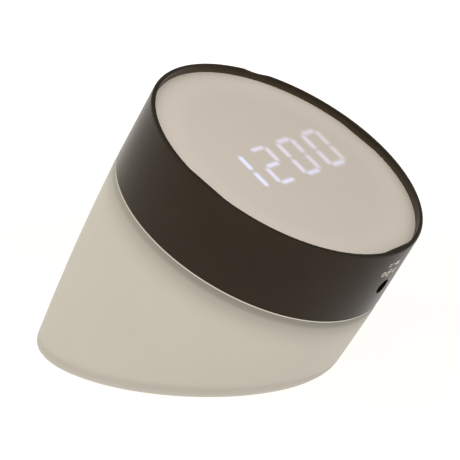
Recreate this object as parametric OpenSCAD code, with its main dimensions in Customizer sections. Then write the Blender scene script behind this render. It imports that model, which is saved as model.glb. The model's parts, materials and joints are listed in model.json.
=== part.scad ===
// Leaning alarm clock: a dark ring with a glowing round face sits on a tapered body
// that stands on its slanted base. Millimetres, +Z up. The face looks up and towards -Y,
// and the origin is on the table, under the middle of the clock's own box.
// Places in the ring are given as a depth below the rim, along the ring's axis, and as a
// clock angle that starts at 6 o'clock and turns towards 3 o'clock.

/* [Ring and face] */
// Outer diameter of the dark ring
ring_d = 80; // [76:1:100]
// Height of the ring along its axis
ring_h = 22; // [20:0.5:30]
// Width of the thin lip round the face
lip_w = 1.2; // [0.8:0.05:1.6]
// Depth of the face below the lip
face_recess = 2.2; // [0.5:0.05:2.6]
// Thickness of the face plate
face_thick = 1.2; // [0.8:0.1:1.5]
// Thickness of the deck behind the face plate
deck_thick = 1.8; // [1.2:0.1:2.4]
// Wall of the ring below the deck
ring_wall = 2; // [1.6:0.1:2.4]
// How far each of the three locating flats stands in from the lip's circle
flat_in = 0.5; // [0.2:0.05:1]
// Clock angle of the middle one of those flats
flat_angle = 0; // [-5:1:5]
// Width of the shallow dip in the rim
dip_w = 9; // [4:0.5:14]
// Depth of the dip in the rim
dip_depth = 0.65; // [0.2:0.05:1.2]
// Clock angle of the dip
dip_angle = 141; // [100:1:150]
// Rounding of the rim's outer edge
rim_edge = 0.55; // [0.3:0.05:0.9]
// Chamfer of the ring's lower edge
ring_edge = 0.2; // [0.1:0.05:0.5]

/* [Body] */
// Lean of the ring's axis from upright
lean = 30; // [15:0.5:33]
// Distance along the axis from the rim to the base
axis_len = 70.4; // [64:0.1:90]
// Depth at which the sides begin to taper
taper_start = 26; // [10:0.5:30]
// Slope of the taper where it begins
taper_angle = 1.6; // [0:0.05:4]
// Radius of the slight bulge of the sides
bulge_r = 870; // [600:10:4000]
// Wall of the body shell
shell_wall = 2.2; // [1.8:0.1:2.6]
// Height of the thin bead under the ring
bead_h = 0.45; // [0.2:0.05:1]
// Depth of the soft groove under the bead
groove_depth = 0.25; // [0.05:0.05:0.5]
// Height over which the groove fades out
groove_h = 3.2; // [1:0.1:6]
// Rounding of the base edge
base_edge_r = 3.4; // [1.5:0.1:4]
// Flat border of the body between the rounding and the base plate
sill_w = 0.6; // [0.4:0.1:1]
// Width of the flange that the ring screws on to
flange_w = 9.35; // [9:0.05:12]
// Thickness of that flange
flange_thick = 2; // [1.5:0.1:2.5]

/* [Base] */
// Thickness of the base plate and its battery door
base_thick = 2.2; // [1.8:0.1:3]
// Height that the foot pads stand proud
foot_proud = 0.3; // [0.3:0.1:1.5]
// Diameter of a foot pad
foot_d = 8; // [5:0.5:9]
// Thickness of a foot pad
foot_thick = 1.3; // [1:0.1:2]
// Distance of the foot pads from the front and back ends of the base
foot_inset = 24; // [22:0.5:27]
// Diameter of the screw posts in the body
post_d = 6; // [5:0.5:7]
// Height of the screw posts
post_h = 12; // [9:0.5:16]
// Distance of the front and side posts from the base outline
post_inset = 7.5; // [7.2:0.1:8.2]
// Distance of the back post from the base outline
back_post_inset = 10; // [9:0.5:12]

/* [Batteries] */
// Diameter of one cell
cell_d = 10.2; // [8:0.1:10.6]
// Length of one cell without its nub
cell_l = 43.6; // [40:0.1:44]
// Height of the nub on a cell
nub_h = 0.8; // [0.5:0.1:1.2]
// Gap between neighbouring cells
cell_gap = 0.6; // [0.4:0.1:1]
// Clearance of the cells to the door, and half of it to the sides of the bay
cell_room = 0.3; // [0.2:0.05:0.5]
// Wall of the battery bay
bay_wall = 1.5; // [1:0.1:1.8]
// Thickness of the contact plates
contact_thick = 0.4; // [0.3:0.05:0.6]
// How far the contact stubs reach from their plates to the cells
contact_reach = 2.4; // [1.5:0.1:3]
// Clearance round the battery door
door_gap = 0.3; // [0.2:0.05:0.5]

/* [Display] */
// First digit shown
digit_1 = 1; // [0:1:9]
// Second digit shown
digit_2 = 2; // [0:1:9]
// Third digit shown
digit_3 = 0; // [0:1:9]
// Fourth digit shown
digit_4 = 0; // [0:1:9]
// Height of a digit
digit_h = 14.2; // [12:0.1:15]
// Width of a digit
digit_w = 8.2; // [6:0.1:9]
// Distance between digits
digit_pitch = 12.7; // [11.5:0.1:13]
// Thickness of a segment
segment_w = 1.3; // [1:0.05:1.8]
// Gap between neighbouring segments
segment_gap = 0.35; // [0.2:0.05:0.6]
// Slant of the digits
slant = 9.5; // [0:0.5:12]
// Shift of the display to the right
display_x = 1; // [-2:0.1:2]
// Shift of the display upwards
display_y = 0.8; // [-2:0.1:2]
// Length of the display module
module_l = 56; // [54:0.5:58]
// Width of the display module
module_w = 19; // [18:0.5:20]
// Height of the display module
module_h = 8; // [6:0.1:8]

/* [Boards and parts] */
// Thickness of the circuit boards
board_thick = 1.6; // [1:0.1:1.6]
// Depth of the jack and the keys below the rim
jack_depth = 12.7; // [12.7:0.1:14]
// Clock angle of the jack
jack_angle = 3; // [-5:1:5]
// Diameter of the jack hole in the ring
jack_hole_d = 4.7; // [4:0.1:5]
// Bore of the jack
jack_bore_d = 3.6; // [3:0.1:4]
// Diameter of the jack's centre pin
jack_pin_d = 1.3; // [1:0.1:1.6]
// Length of the jack
jack_l = 11; // [9:0.5:12]
// Width of the jack
jack_w = 8; // [6:0.5:9]
// Height of the jack
jack_h = 6.4; // [6:0.1:6.6]
// Diameter of the buzzer
buzzer_d = 12; // [9:0.5:14]
// Height of the buzzer
buzzer_h = 8.5; // [6:0.5:10]
// Diameter of the tilt switch's ball
tilt_ball_d = 3.5; // [2.5:0.1:4]
// Radial clearance of that ball in its can
tilt_gap = 0.1; // [0.05:0.01:0.2]
// Travel of the tilt switch's ball
tilt_travel = 3.4; // [2:0.1:5]
// Diameter of the smoothing capacitor
capacitor_d = 6.3; // [5:0.1:8]
// Height of the smoothing capacitor
capacitor_h = 8.3; // [6:0.1:10]

/* [Keys] */
// Diameter of a key
key_d = 5; // [4:0.1:5.4]
// Height that the keys stand proud of the ring
key_proud = 0.5; // [0.45:0.05:1]
// Angle between keys
key_step = 12; // [12:0.5:14]
// Travel of a key
key_travel = 0.4; // [0.2:0.05:0.4]
// Running clearance round keys and switch stems
key_gap = 0.08; // [0.05:0.01:0.15]
// Diameter of a switch stem
stem_d = 2.8; // [2:0.1:3.2]

/* [Screws] */
// Shank diameter of the board screws
board_screw_d = 1.9; // [1.6:0.1:2.2]
// Shank length of the board screws
board_screw_l = 8; // [6:0.5:9]
// Shank diameter of the body and base screws
screw_d = 2.3; // [2:0.1:2.6]
// Shank length of the body screws
body_screw_l = 9; // [7:0.5:10]
// Shank length of the base screws
base_screw_l = 8; // [6:0.5:10]
// Radius of the bosses for the body screws
boss_r = 2.8; // [2.4:0.1:3]
// Radius of the bosses for the board screws
board_boss_r = 2.5; // [2.2:0.1:2.7]
// Distance of the body bosses from the inside of the ring
body_boss_inset = 6.5; // [6:0.1:7]
// Distance of the board bosses from the inside of the ring
board_boss_inset = 12; // [11:0.5:13]

/* [Clearances] */
// Clearance between seated pieces
seat_gap = 0.15; // [0.1:0.05:0.25]
// Radial clearance of a screw in its pilot hole
screw_gap = 0.05; // [0.03:0.01:0.1]
// Radial clearance of a screw in the sheet it holds down
screw_free = 0.25; // [0.1:0.05:0.4]

/* [Hidden] */
$fn = 96;
eps = 0.01;
ring_r = ring_d / 2;
ring_in_r = ring_r - ring_wall;
lip_r = ring_r - lip_w;
over = 2 * ring_d;

// Depths of the stack below the rim
deck_depth = face_recess + face_thick;
deck_back = deck_depth + deck_thick;
display_board_depth = deck_depth + module_h;
board_depth = jack_depth + jack_h / 2;
board_back = board_depth + board_thick;
flange_room = 1.5;
flange_depth = board_back + flange_room;
flange_back = flange_depth + flange_thick;
flange_out_r = ring_in_r - seat_gap;
flange_in_r = flange_out_r - flange_w;
collar_wall = 1.8;
collar_back = ring_h + 2;
board_edge_gap = 0.6;
board_r = ring_in_r - board_edge_gap;
display_board_side = 1.5;
display_board_w = module_w + 2 * display_board_side;

// Sides: radius of the outer skin at a depth below the rim
function past(depth) = max(0, depth - taper_start);
function skin_r(depth) = ring_r - past(depth) * tan(taper_angle) - pow(past(depth), 2) / (2 * bulge_r);
function groove(depth) =
    groove_depth * pow(max(0, 1 - (depth - ring_h - bead_h) / groove_h), 2);

// Base outline: a plane parallel to the table, h above the base, cuts the skin.
// turn is the angle round the axis from 3 o'clock, and each step refines the radius.
function axis_at(h) = axis_len - h / cos(lean);
function cut_r(turn, h, n = 8) =
    n == 0 ? ring_r : skin_r(axis_at(h) + cut_r(turn, h, n - 1) * sin(turn) * tan(lean));
function cut_x(turn, h) = cut_r(turn, h) * cos(turn);
function cut_y(turn, h) =
    axis_y - h * tan(lean) + cut_r(turn, h) * sin(turn) / cos(lean);

// Rounded base edge: how far it has drawn in, and its height, at each angle of its arc
base_arc = [0, 18, 36, 54, 72, 90];
function base_in(a) = base_edge_r * (1 - sin(a));
function base_up(a) = base_edge_r * (1 - cos(a));

// Rounded rim: how far it has drawn in, and its depth, at each angle of its arc
rim_arc = [90, 72, 54, 36, 18, 0];
function rim_in(a) = rim_edge * (1 - cos(a));
function rim_down(a) = rim_edge * (1 - sin(a));

// The origin is midway between the rim's front and the back of the base edge
front_reach = max([for (a = rim_arc)
    (ring_r - rim_in(a)) * cos(lean) - rim_down(a) * sin(lean)]);
back_reach = max([for (a = base_arc)
    cut_r(90, base_up(a)) / cos(lean) - base_up(a) * tan(lean) - base_in(a)]);
axis_y = (axis_len * sin(lean) + front_reach - back_reach) / 2;
rim_y = axis_y - axis_len * sin(lean);
rim_z = foot_proud + axis_len * cos(lean);
base_front_y = cut_y(-90, 0);
base_back_y = cut_y(90, 0);
base_cy = (base_front_y + base_back_y) / 2;
base_half_w = cut_x(0, 0);
base_half_l = (base_back_y - base_front_y) / 2;
plate_inset = base_edge_r + sill_w;
deep = axis_len + ring_r;

// Base plate and battery bay
plate_top = foot_proud + base_thick;
cell_pitch = cell_d + cell_gap;
bay_w = 3 * cell_pitch + 2 * cell_room;
bay_l = cell_l + nub_h + 2 * (contact_thick + contact_reach);
bay_cy = (base_front_y + post_inset + base_back_y - back_post_inset) / 2;
bay_front = bay_cy - bay_l / 2;
bay_end = bay_cy + bay_l / 2;
cell_z = plate_top + cell_room + cell_d / 2;
roof_room = 0.5;
bay_top = cell_z + cell_d / 2 + roof_room;
roof_top = bay_top + bay_wall;
contact_w = 7;
contact_low = plate_top + 2.6;
contact_high = bay_top - 0.3;
link_low = contact_low + 2;
link_high = link_low + 3;
stub_r = 1.6;
tab_rise = 1.5;
tab_w = 2;
door_tab_w = 3;
door_tab_thick = 1;
door_tab_reach = 2;
tab_lift = 0.2;
finger_h = 3.3;
finger_w = 2;
finger_thick = 1;
finger_set = 0.5;

// Foot pads: midway between the bay and the edge of the base plate
foot_y = base_half_l - foot_inset;
foot_x = (bay_w / 2 + bay_wall + base_half_w * cos(asin(foot_y / base_half_l)) - plate_inset) / 2;

// Screws: head radius, head height, shank radius and shank length
board_screw = [board_screw_d, 0.7 * board_screw_d, board_screw_d / 2, board_screw_l];
body_screw = [0.95 * screw_d, 0.6 * screw_d, screw_d / 2, body_screw_l];
base_screw = [0.95 * screw_d, 0.48 * screw_d, screw_d / 2, base_screw_l];
base_head_set = 0.1;
screw_end_room = 0.5;
board_boss_at = [ring_in_r - board_boss_inset, [55, 125, -55, -125]];
body_boss_at = [ring_in_r - body_boss_inset, [30, 150, -30, -150]];

// Keys: radial places measured outwards from the ring's axis
key_angles = [180 + key_step, 180, 180 - key_step];
key_front = ring_r + key_proud;
key_flange_r = key_d / 2 + 0.5;
key_flange_thick = 0.7;
key_flange_out = sqrt(pow(ring_in_r, 2) - pow(key_flange_r, 2)) - 0.25;
key_back = key_flange_out - key_flange_thick - 0.9;
switch_front = key_back - key_travel - 1;
switch_l = 3.5;
switch_w = 5;
switch_h = board_depth - jack_depth + 2.3;
stem_in = 0.5;

// Jack
jack_front = sqrt(pow(ring_in_r, 2) - pow(jack_w / 2, 2)) - 0.2;
jack_back = jack_front - jack_l;
jack_bore_l = jack_l - 2;

// Parts on the back of the main board: place across and up the face
chip_at = [0, -2];
crystal_at = [10, 3];
capacitor_at = [-14, 6];
sleeve_step = 0.3;
buzzer_at = [-13, -9];
tilt_at = [13, -9];
socket_at = [0, 12];
socket_size = [6, 5, 4.5];
chip_size = [10, 4, 1.5];
tilt_bore_r = tilt_ball_d / 2 + tilt_gap;
tilt_wall = 0.75;
tilt_cap = 1.2;
tilt_far = board_back + tilt_cap + tilt_travel + tilt_ball_d + tilt_gap;
header_x = 22;
header_count = 6;
pin_pitch = 2;
pin_r = 0.3;

// Battery lead: points of each wire, after the straight start at the socket
wire_r = 0.65;
wire_x = 1.5;
wire_gap = 0.05;
socket_mouth = board_back + socket_size[2];
socket_y = rim_y + socket_at[1] * cos(lean) + socket_mouth * sin(lean);
socket_z = rim_z + socket_at[1] * sin(lean) - socket_mouth * cos(lean);
plus_tab = [-cell_pitch, bay_end - contact_thick / 2, roof_top + tab_rise];
minus_tab = [cell_pitch, bay_front + contact_thick / 2, roof_top + tab_rise];

// Segments lit for each digit, in the order a, b, c, d, e, f, g
SEGMENTS_ON = [
    [1, 1, 1, 1, 1, 1, 0], [0, 1, 1, 0, 0, 0, 0], [1, 1, 0, 1, 1, 0, 1],
    [1, 1, 1, 1, 0, 0, 1], [0, 1, 1, 0, 0, 1, 1], [1, 0, 1, 1, 0, 1, 1],
    [1, 0, 1, 1, 1, 1, 1], [1, 1, 1, 0, 0, 0, 0], [1, 1, 1, 1, 1, 1, 1],
    [1, 1, 1, 1, 0, 1, 1]];
digits = [digit_1, digit_2, digit_3, digit_4];
segment_depth = 1;
segment_fit = 0.03;

// Puts a shape that is drawn about the ring's axis, rim at z = 0, into the clock
module face_frame() {
    translate([0, rim_y, rim_z])
        rotate([lean, 0, 0])
            children();
}

// Turns a shape that is drawn along +X to a clock angle round the ring's axis
module at_clock(angle, depth) {
    translate([0, 0, -depth])
        rotate([0, 0, angle - 90])
            children();
}

// Repeats a shape round the ring's axis: place is [radius, [angles]]
module around(place) {
    for (turn = place[1])
        rotate([0, 0, turn])
            translate([place[0], 0, 0])
                children();
}

// Rod along X between two distances from the ring's axis
module radial_rod(r, from, to) {
    translate([from, 0, 0])
        rotate([0, 90, 0])
            cylinder(r = r, h = to - from);
}

// Block centred across X and Y, from one depth below the rim to another
module deep_block(size, from, to, at = [0, 0]) {
    translate([at[0] - size[0] / 2, at[1] - size[1] / 2, -to])
        cube([size[0], size[1], to - from]);
}

// Rod along the ring's axis, from one depth below the rim to another
module deep_rod(r, from, to, at = [0, 0]) {
    translate([at[0], at[1], -to])
        cylinder(r = r, h = to - from);
}

// Screw with its head at z = 0 and its shank upwards; the head has a cross recess
module screw(kind) {
    head_r = kind[0];
    head_h = kind[1];
    difference() {
        union() {
            cylinder(r = head_r, h = head_h);
            cylinder(r = kind[2], h = head_h + kind[3]);
        }
        for (turn = [0, 90])
            rotate([0, 0, turn])
                translate([-head_r * 0.6, -head_r * 0.12, -eps])
                    cube([head_r * 1.2, head_r * 0.24, head_h * 0.5]);
    }
}

// Circle of the lip with its three flats; towards 12 o'clock it stays round
module lip_outline(gap) {
    flat_at = lip_r - flat_in - gap;
    intersection() {
        circle(r = lip_r - gap);
        rotate(flat_angle)
            translate([-flat_at, -flat_at])
                square([2 * flat_at, flat_at + lip_r]);
    }
}

// Solid of the ring's outer skin down to its lower edge
module ring_skin() {
    rotate_extrude()
        polygon(concat(
            [[0, 0]],
            [for (a = rim_arc) [ring_r - rim_in(a), -rim_down(a)]],
            [[ring_r, -min(taper_start, ring_h - 1)], [skin_r(ring_h), ring_edge - ring_h]],
            [[skin_r(ring_h) - ring_edge, -ring_h], [0, -ring_h]]));
}

module ring_bezel() {
    color("#3a352e") face_frame() difference() {
        union() {
            difference() {
                ring_skin();
                translate([0, 0, -deck_depth])
                    linear_extrude(deck_depth + eps)
                        lip_outline(0);
                deep_rod(ring_in_r, deck_back, ring_h + eps);
            }
            around(board_boss_at)
                deep_rod(board_boss_r, deck_back - eps, board_depth);
            around(body_boss_at)
                deep_rod(boss_r, deck_back - eps, flange_depth);
        }
        deep_block([module_l + 2 * seat_gap, module_w + 2 * seat_gap],
            deck_depth - eps, deck_back + eps, [display_x, display_y]);
        around(board_boss_at)
            deep_rod(board_screw[2] + screw_gap, board_back - board_screw_l - screw_end_room,
                board_depth + eps);
        around(body_boss_at)
            deep_rod(body_screw[2] + screw_gap, flange_back - body_screw_l - screw_end_room,
                flange_depth + eps);
        at_clock(jack_angle, jack_depth)
            radial_rod(jack_hole_d / 2, ring_in_r - 1, ring_r + 1);
        for (angle = key_angles)
            at_clock(angle, jack_depth)
                radial_rod(key_d / 2 + key_gap, ring_in_r - 1, ring_r + 1);
        rim_dip();
    }
}

// Shallow scallop in the top of the rim, as wide and deep as its two sizes say
module rim_dip() {
    dip_r = (pow(dip_w / 2, 2) + pow(dip_depth, 2)) / (2 * dip_depth);
    at_clock(dip_angle, dip_depth - dip_r)
        radial_rod(dip_r, lip_r - 3, ring_r + 1);
}

module face_plate() {
    color("#c8bfb0") face_frame()
        translate([0, 0, -deck_depth])
            linear_extrude(face_thick)
                lip_outline(seat_gap);
}

// Outlines of bars with pointed tips: w is half their thickness, x and y their middle line
function level_bar(x, y, w) =
    [[-x, y], [w - x, y + w], [x - w, y + w], [x, y], [x - w, y - w], [w - x, y - w]];
function upright_bar(x, low, high, w) =
    [[x, low], [x + w, low + w], [x + w, high - w], [x, high], [x - w, high - w], [x - w, low + w]];

// Leans points over to the right by the slant
function lean_over(points) = [for (p = points) [p[0] + p[1] * tan(slant), p[1]]];

// Outline of one segment, numbered in the order a to g, grown by a clearance
module segment(number, grow) {
    half = segment_w / 2;
    reach_x = digit_w / 2 - half;
    reach_y = digit_h / 2 - half;
    tip = segment_gap / 2;
    w = half + grow;
    if (number == 0 || number == 3 || number == 6)
        polygon(lean_over(level_bar(reach_x - tip + grow,
            number == 0 ? reach_y : number == 3 ? -reach_y : 0, w)));
    else
        polygon(lean_over(upright_bar(number < 3 ? reach_x : -reach_x,
            (number == 1 || number == 5 ? tip : tip - reach_y) - grow,
            (number == 1 || number == 5 ? reach_y - tip : -tip) + grow, w)));
}

// Every segment that is lit (wanted = 1) or dark (wanted = 0), in the plane of the face
module segments(wanted, grow) {
    for (i = [0:3])
        translate([display_x + (i - 1.5) * digit_pitch, display_y])
            for (number = [0:6])
                if (SEGMENTS_ON[digits[i]][number] == wanted)
                    segment(number, grow);
}

// The two dots between the pairs of digits
module colon(grow) {
    for (side = [-1, 1])
        translate([display_x + side * digit_h * 0.2 * tan(slant), display_y + side * digit_h * 0.2])
            circle(r = segment_w / 2 + grow);
}

module display_housing() {
    color("#22211f") face_frame() difference() {
        deep_block([module_l, module_w], deck_depth, display_board_depth, [display_x, display_y]);
        translate([0, 0, -deck_depth - segment_depth])
            linear_extrude(segment_depth + eps) {
                segments(1, segment_fit);
                segments(0, segment_fit);
                colon(segment_fit);
            }
    }
}

module lit_segments() {
    color("#eef0ff") face_frame()
        translate([0, 0, -deck_depth - segment_depth])
            linear_extrude(segment_depth)
                segments(1, 0);
}

module dark_segments() {
    color("#b9b6ae") face_frame()
        translate([0, 0, -deck_depth - segment_depth])
            linear_extrude(segment_depth) {
                segments(0, 0);
                colon(0);
            }
}

// Places of the header pins: two short rows, one on each side of the display
module at_header_pins() {
    for (side = [-1, 1], i = [0:header_count - 1])
        translate([display_x + side * header_x, display_y + (i - (header_count - 1) / 2) * pin_pitch, 0])
            children();
}

module display_board() {
    color("#1f5a3a") face_frame() difference() {
        deep_block([module_l, display_board_w], display_board_depth,
            display_board_depth + board_thick, [display_x, display_y]);
        at_header_pins()
            deep_rod(pin_r + 0.1, display_board_depth - eps, display_board_depth + board_thick + eps);
    }
}

module header_strips() {
    color("#262626") face_frame() difference() {
        for (side = [-1, 1])
            deep_block([2.5, header_count * pin_pitch + 0.5], display_board_depth + board_thick,
                board_depth, [display_x + side * header_x, display_y]);
        at_header_pins()
            deep_rod(pin_r, display_board_depth, board_depth + eps);
    }
}

module header_pins() {
    color("#c9a64a") face_frame()
        at_header_pins()
            deep_rod(pin_r, display_board_depth, board_back + 0.8);
}

module main_board() {
    color("#1f5a3a") face_frame() difference() {
        deep_rod(board_r, board_depth, board_back);
        around(board_boss_at)
            deep_rod(board_screw[2] + screw_free, board_depth - eps, board_back + eps);
        around(body_boss_at)
            deep_rod(boss_r + 0.3, board_depth - eps, board_back + eps);
        at_header_pins()
            deep_rod(pin_r + 0.1, board_depth - eps, board_back + eps);
    }
}

module board_screws() {
    color("#9a9a98") face_frame()
        around(board_boss_at)
            translate([0, 0, -board_back - board_screw[1]])
                screw(board_screw);
}

module dc_jack() {
    color("#1c1c1c") face_frame() at_clock(jack_angle, jack_depth) difference() {
        translate([jack_back, -jack_w / 2, -jack_h / 2])
            cube([jack_l, jack_w, jack_h]);
        radial_rod(jack_bore_d / 2, jack_front - jack_bore_l, jack_front + 1);
        radial_rod(jack_pin_d / 2, jack_back + 0.8, jack_front);
    }
}

module jack_pin() {
    color("#c8c5bd") face_frame() at_clock(jack_angle, jack_depth)
        radial_rod(jack_pin_d / 2, jack_back + 0.8, jack_front - 1);
}

// Key: a round cap that looks through the ring, a flange that keeps it in, and a stem
module key(angle) {
    color("#2c2824") face_frame() at_clock(angle, jack_depth)
        rotate([0, 90, 0])
            rotate_extrude()
                polygon([[0, key_back], [key_d / 2 - 1, key_back],
                    [key_d / 2 - 1, key_flange_out - key_flange_thick],
                    [key_flange_r, key_flange_out - key_flange_thick],
                    [key_flange_r, key_flange_out], [key_d / 2, key_flange_out],
                    [key_d / 2, key_front - 0.35], [key_d / 2 - 0.1, key_front - 0.12],
                    [key_d / 2 - 0.4, key_front], [0, key_front]]);
}

module key_minus() {
    key(key_angles[0]);
}

module key_set() {
    key(key_angles[1]);
}

module key_plus() {
    key(key_angles[2]);
}

// Stem of the push switch behind a key; it moves with the key
module switch_stem(angle) {
    color("#b8b4aa") face_frame() at_clock(angle, jack_depth)
        radial_rod(stem_d / 2, switch_front - stem_in, key_back);
}

module switch_stem_minus() {
    switch_stem(key_angles[0]);
}

module switch_stem_set() {
    switch_stem(key_angles[1]);
}

module switch_stem_plus() {
    switch_stem(key_angles[2]);
}

module switch_bodies() {
    color("#2b2b2d") face_frame()
        for (angle = key_angles)
            at_clock(angle, jack_depth) difference() {
                translate([switch_front - switch_l, -switch_w / 2, jack_depth - board_depth])
                    cube([switch_l, switch_w, switch_h]);
                radial_rod(stem_d / 2 + key_gap, switch_front - stem_in - key_travel - 0.4,
                    switch_front + 1);
            }
}

module controller_chip() {
    color("#1b1b1d") face_frame() difference() {
        deep_block(chip_size, board_back + 0.15, board_back + 0.15 + chip_size[2], chip_at);
        deep_rod(0.5, board_back + chip_size[2], board_back + chip_size[2] + 1,
            [chip_at[0] - chip_size[0] / 2 + 1.1, chip_at[1] - chip_size[1] / 2 + 1]);
    }
}

// Bent legs along both long sides of the chip, from its side down to the board
module chip_legs() {
    leg_out = 1;
    leg_w = 0.42;
    leg_thick = 0.2;
    color("#c4c4c0") face_frame()
        for (side = [-1, 1], i = [0:7])
            translate([chip_at[0] + (i - 3.5) * 1.27 - leg_w / 2, chip_at[1], -board_back])
                mirror([0, side < 0 ? 1 : 0, 0])
                    translate([0, chip_size[1] / 2, 0])
                        rotate([90, 0, 90])
                            linear_extrude(leg_w)
                                polygon([[0, -0.8], [0.45, -0.8], [0.45, -leg_thick],
                                    [leg_out, -leg_thick], [leg_out, 0], [0.25, 0],
                                    [0.25, -0.6], [0, -0.6]]);
}

module clock_crystal() {
    color("#c2c2bd") face_frame()
        translate([crystal_at[0], crystal_at[1], -board_back - 1])
            rotate([0, 90, 0])
                cylinder(r = 1, h = 6);
}

module smoothing_capacitor() {
    color("#2a3350") face_frame() union() {
        deep_rod(capacitor_d / 2, board_back, board_back + capacitor_h - sleeve_step,
            capacitor_at);
        deep_rod(capacitor_d / 2 - 2 * sleeve_step, board_back + 1, board_back + capacitor_h,
            capacitor_at);
    }
}

module buzzer_case() {
    color("#1e1e1e") face_frame() difference() {
        deep_rod(buzzer_d / 2, board_back, board_back + buzzer_h, buzzer_at);
        deep_rod(buzzer_d / 2 - 0.9, board_back + 2, board_back + buzzer_h - 1, buzzer_at);
        deep_rod(1.2, board_back + buzzer_h - 2, board_back + buzzer_h + 1, buzzer_at);
    }
}

module buzzer_disc() {
    color("#c9a64a") face_frame()
        deep_rod(buzzer_d / 2 - 1.05, board_back + 2, board_back + 2.3, buzzer_at);
}

module tilt_can() {
    color("#b9b7b0") face_frame() difference() {
        deep_rod(tilt_bore_r + tilt_wall, board_back, tilt_far + tilt_wall, tilt_at);
        deep_rod(tilt_bore_r, board_back + tilt_cap, tilt_far, tilt_at);
    }
}

// Ball of the tilt switch, at the low end of its can while the clock stands
module tilt_ball() {
    color("#8f8d88") face_frame()
        translate([tilt_at[0], tilt_at[1], (tilt_ball_d + tilt_gap) / 2 - tilt_far])
            sphere(d = tilt_ball_d);
}

module lead_socket() {
    color("#e7e2d2") face_frame() difference() {
        deep_block(socket_size, board_back, socket_mouth, socket_at);
        deep_block([socket_size[0] - 1.6, 1], socket_mouth - 1, socket_mouth + eps,
            [socket_at[0], socket_at[1] + 1.5]);
    }
}

// Smooth path through hand-chosen points, as a chain of cubic spans
function spline_at(a, b, c, d, u) =
    b + 0.5 * ((c - a) * u + (2 * a - 5 * b + 4 * c - d) * pow(u, 2)
        + (3 * b - a - 3 * c + d) * pow(u, 3));
function spline(p, steps) = concat(
    [for (i = [0:len(p) - 2], s = [0:steps - 1])
        spline_at(p[max(0, i - 1)], p[i], p[i + 1], p[min(len(p) - 1, i + 2)], s / steps)],
    [p[len(p) - 1]]);
function unit(v) = v / norm(v);

// Round tube swept along a path; its first and last rings lie square to given directions
module tube(path, r, start, finish, sides = 8) {
    n = len(path);
    heading = [for (i = [0:n - 1])
        i == 0 ? unit(start) : i == n - 1 ? unit(finish) : unit(path[i + 1] - path[i - 1])];
    points = [for (i = [0:n - 1])
        let (side = unit(cross(heading[i], [1, 0.05, 0])), up = cross(side, heading[i]))
            for (k = [0:sides - 1])
                path[i] + r * (cos(k * 360 / sides) * side + sin(k * 360 / sides) * up)];
    faces = concat(
        [for (i = [0:n - 2], k = [0:sides - 1]) let (m = (k + 1) % sides)
            [i * sides + k, (i + 1) * sides + k, i * sides + m]],
        [for (i = [0:n - 2], k = [0:sides - 1]) let (m = (k + 1) % sides)
            [i * sides + m, (i + 1) * sides + k, (i + 1) * sides + m]],
        [[for (k = [0:sides - 1]) k]],
        [[for (k = [sides - 1:-1:0]) (n - 1) * sides + k]]);
    polyhedron(points, faces);
}

// One wire from the socket to the top of a contact tab, by way of points chosen by hand
// and measured from the tab
module wire(side, tab, way) {
    out = [0, sin(lean), -cos(lean)];
    mouth = [side * wire_x, socket_y, socket_z] + wire_gap * out;
    tube(spline(concat([mouth, mouth + 3 * out], [for (p = way) tab + p], [tab + [0, 0, 3], tab]), 4),
        wire_r, out, [0, 0, -1]);
}

module lead_plus() {
    color("#a63c34") wire(-1, plus_tab, [[6.8, -20, 19], [2.8, -8, 10.5]]);
}

module lead_minus() {
    color("#2a2a2a") wire(1, minus_tab, [[-6.8, 20, 18.5], [-1.8, 9, 10.5]]);
}

// Cavity of the body, grown or shrunk all round
module cavity(grow) {
    steps = 12;
    from = collar_back;
    rotate_extrude()
        polygon(concat(
            [[0, -from], [skin_r(from) - shell_wall + grow, -from]],
            [for (i = [1:steps]) let (depth = from + (deep - from) * i / steps)
                [skin_r(depth) - shell_wall + grow, -depth]],
            [[0, -deep]]));
}

// Solid of the body's outer skin, with the thin bead and the soft groove under the ring
module body_skin() {
    steps = 12;
    fade = ring_h + bead_h + groove_h;
    rotate_extrude()
        polygon(concat(
            [[0, -ring_h], [skin_r(ring_h) - 0.12, -ring_h], [skin_r(ring_h), 0.12 - bead_h / 2 - ring_h],
                [skin_r(ring_h), -ring_h - bead_h]],
            [for (i = [0:6]) let (depth = ring_h + bead_h + 0.08 + (groove_h - 0.08) * i / 6)
                [skin_r(depth) - groove(depth), -depth]],
            [for (i = [1:steps]) let (depth = fade + (deep - fade) * i / steps)
                [skin_r(depth), -depth]],
            [[0, -deep]]));
}

// Base outline at height h, drawn in by the given amount
module base_outline(h, inset) {
    offset(delta = eps - inset)
        polygon([for (turn = [0:5:355]) [cut_x(turn, h), cut_y(turn, h)]]);
}

// Everything above the rounded base edge, and the rounding itself
module above_base() {
    translate([-over, -over, foot_proud + base_edge_r])
        cube([2 * over, 2 * over, over]);
    hull() {
        for (a = base_arc)
            translate([0, 0, foot_proud + base_up(a)])
                linear_extrude(eps)
                    base_outline(base_up(a), base_in(a));
    }
}

// Places of the base screws: front, back and the two sides
module at_posts() {
    for (p = [[0, base_front_y + post_inset, -90], [0, base_back_y - back_post_inset, 90],
            [base_half_w - post_inset, base_cy, 0], [post_inset - base_half_w, base_cy, 180]])
        translate([p[0], p[1], 0])
            rotate([0, 0, p[2]])
                children();
}

// Screw posts with a rib to the wall
module posts() {
    at_posts() {
        translate([0, 0, plate_top])
            cylinder(d = post_d, h = post_h);
        translate([0, -0.8, plate_top])
            cube([post_inset + 14, 1.6, post_h]);
    }
}

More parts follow.
